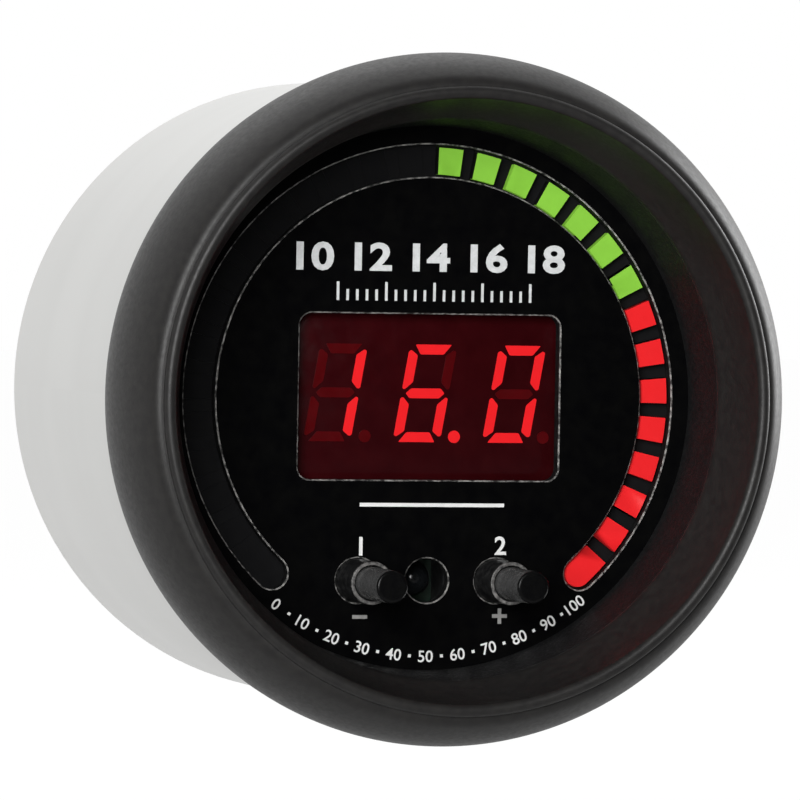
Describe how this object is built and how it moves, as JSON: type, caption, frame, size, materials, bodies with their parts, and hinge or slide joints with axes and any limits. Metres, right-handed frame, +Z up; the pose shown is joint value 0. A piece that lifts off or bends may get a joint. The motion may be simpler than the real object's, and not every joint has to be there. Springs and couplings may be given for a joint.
{
  "type": "air fuel ratio gauge",
  "caption": "Round panel gauge with a lit bar arc, a digit display and push buttons, in a deep black bezel and a drawn metal can.",
  "frame": {"origin": "centre of the panel seat, the flat back of the bezel, on the axis of the can", "axes": "+Y into the dash along the can, the dial looks along -Y, +Z up, +X to the right as the dial is read"},
  "size_m": [0.0554, 0.0689, 0.0554],
  "materials": {
    "bezel_black": "satin black with a fine grain",
    "well_black": "coarse textured black",
    "dial_black": "smooth satin black",
    "case_aluminium": "finely brushed along the round",
    "light_box_black": "matte",
    "green_lens": "lit green",
    "red_lens": "lit red",
    "smoked_lens": "unlit, smoked",
    "lamp_cream": "moulded lamp body",
    "display_red": "deep red filter over the digits",
    "lit_stroke": "lit red",
    "unlit_stroke": "unlit red",
    "solder_tin": "tinned",
    "guide_black": "glossy black",
    "plunger_black": "glossy black, turned end",
    "switch_black": "moulded",
    "stem_grey": "moulded",
    "sensor_clear": "clear moulded lens",
    "board_green": "green solder mask",
    "chip_black": "moulded epoxy",
    "screw_steel": "zinc plated",
    "spacer_brass": "turned",
    "link_black": "moulded",
    "crystal_steel": "pressed can",
    "capacitor_aluminium": "drawn can",
    "socket_black": "moulded",
    "pin_brass": "plated",
    "stud_brass": "nickel plated",
    "washer_steel": "zinc plated"
  },
  "bodies": {
    "root": {"bezel": "bezel_black", "well_ring": "well_black", "dial_plate": "dial_black", "case_cup": "case_aluminium", "light_box": "light_box_black", "green_segments": "green_lens", "red_segments": "red_lens", "unlit_segments": "smoked_lens", "bar_lamps": "lamp_cream", "display_housing": "display_red", "lit_digit_strokes": "lit_stroke", "unlit_digit_strokes": "unlit_stroke", "display_pins": "solder_tin", "left_button_guide": "guide_black", "right_button_guide": "guide_black", "left_switch_body": "switch_black", "right_switch_body": "switch_black", "light_sensor": "sensor_clear", "display_board": "board_green", "driver_chips": "chip_black", "board_screws": "screw_steel", "board_spacers": "spacer_brass", "board_link": "link_black", "control_board": "board_green", "controller_chip": "chip_black", "crystal": "crystal_steel", "voltage_regulator": "chip_black", "filter_capacitors": "capacitor_aluminium", "rear_socket": "socket_black", "socket_pins": "pin_brass", "mounting_studs": "stud_brass", "stud_screws": "screw_steel", "stud_washers": "washer_steel", "stud_nuts": "stud_brass"},
    "left_button": {"left_button_plunger": "plunger_black", "left_switch_stem": "stem_grey"},
    "right_button": {"right_button_plunger": "plunger_black", "right_switch_stem": "stem_grey"}
  },
  "joints": [
    {"name": "left_button_press", "type": "slide", "parent": "root", "child": "left_button", "axis": [0, 1, 0], "range_m": [0, 0.0004], "stiffness_N_per_m": 1500, "springref_m": -0.0002},
    {"name": "right_button_press", "type": "slide", "parent": "root", "child": "right_button", "axis": [0, 1, 0], "range_m": [0, 0.0004], "stiffness_N_per_m": 1500, "springref_m": -0.0002}
  ]
}
